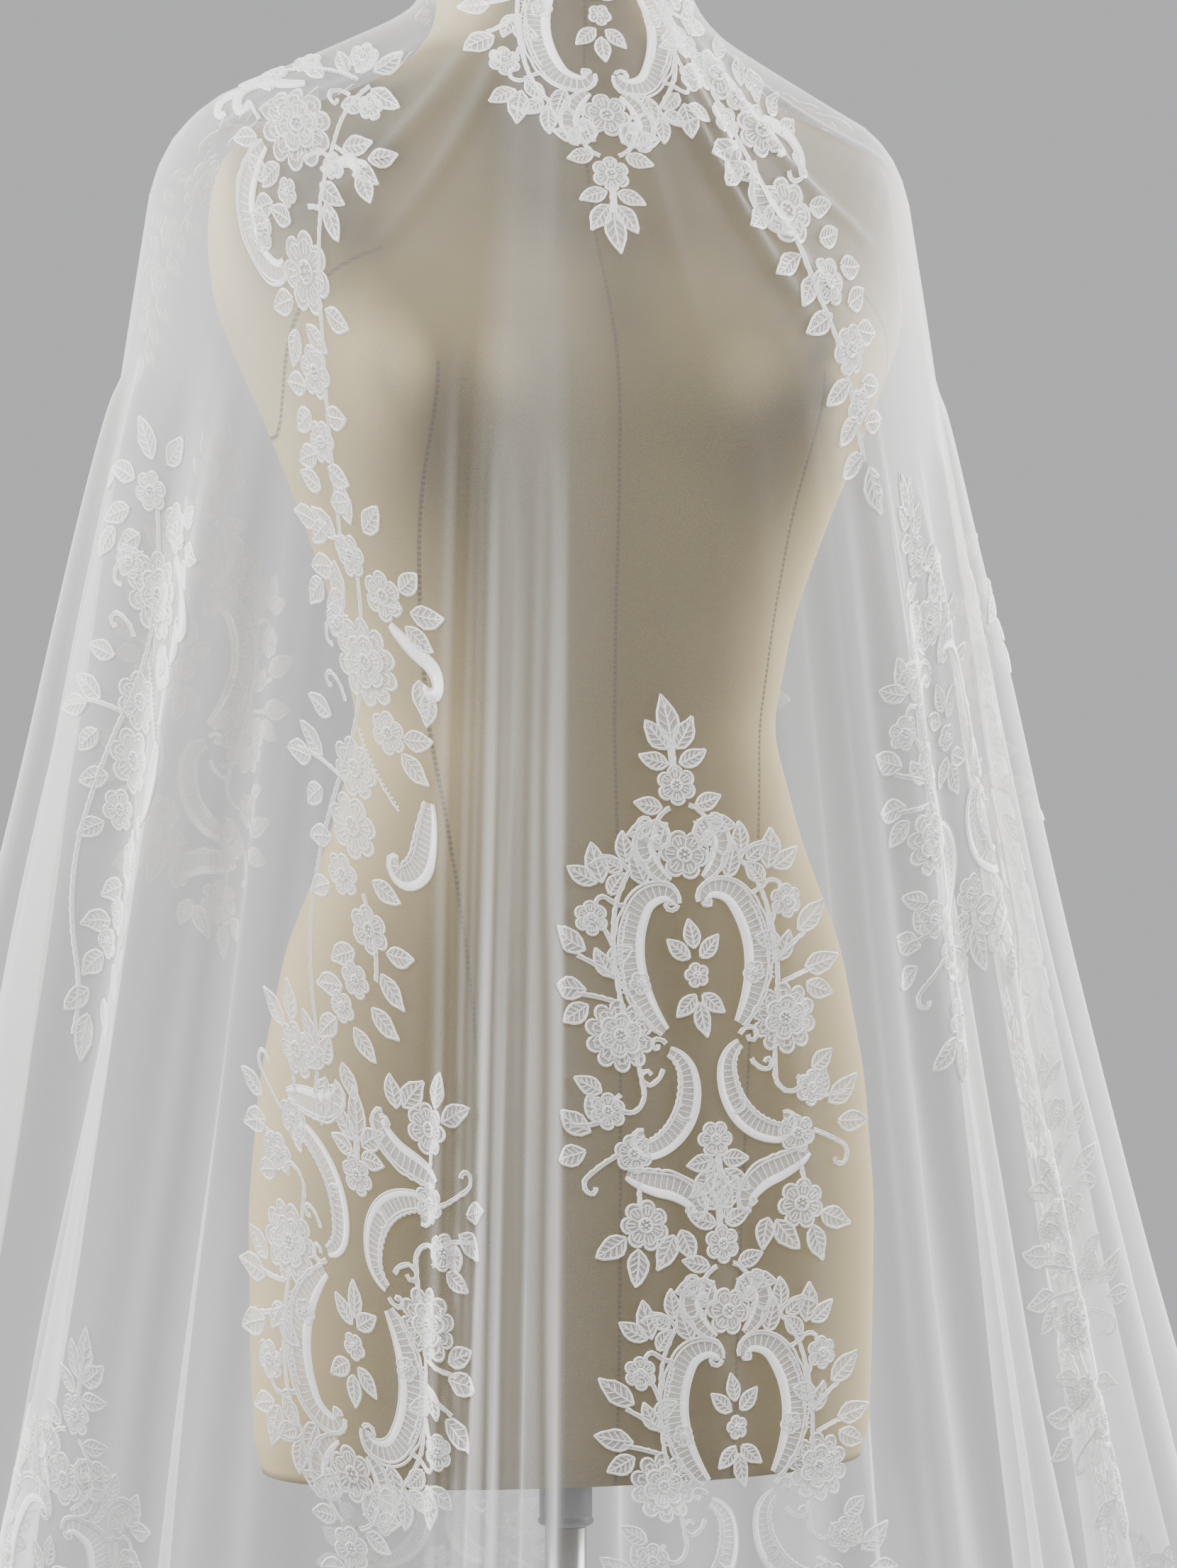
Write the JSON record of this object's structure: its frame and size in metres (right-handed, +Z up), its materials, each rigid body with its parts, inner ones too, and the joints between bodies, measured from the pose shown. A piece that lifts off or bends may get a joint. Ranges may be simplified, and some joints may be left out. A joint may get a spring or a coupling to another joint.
{
  "type": "bridal veil on dress form",
  "caption": "Sheer tulle veil with corded lace medallions and garlands, draped in deep folds over a limbless dress form on a pole and round foot plate.",
  "frame": {"origin": "centre of the foot plate's underside, on the floor", "axes": "+Z up along the pole, the form faces -Y, +X towards the form's left shoulder, on the right when seen from the front"},
  "size_m": [1.0298, 0.8157, 1.5908],
  "materials": {
    "tulle": "matte",
    "lace": "satin",
    "form_cover": "matte",
    "collar": "satin",
    "steel": "satin"
  },
  "bodies": {
    "root": {"veil_crown": "tulle", "veil_front": "tulle", "veil_right": "tulle", "veil_back": "tulle", "veil_left": "tulle", "lace_throat": "lace", "lace_right_shoulder": "lace", "lace_left_shoulder": "lace", "lace_left_medallion": "lace", "lace_front_medallion": "lace", "lace_front_lower_medallion": "lace", "lace_front_hem_medallion": "lace", "lace_back_neck": "lace", "lace_back_right_shoulder": "lace", "lace_back_left_shoulder": "lace", "lace_back_medallion": "lace", "lace_back_lower_medallion": "lace", "lace_back_hem_medallion": "lace", "torso": "form_cover", "neck_cap": "form_cover", "left_arm_plate": "form_cover", "right_arm_plate": "form_cover", "collar": "collar", "pole": "steel", "foot_plate": "steel"}
  },
  "joints": []
}
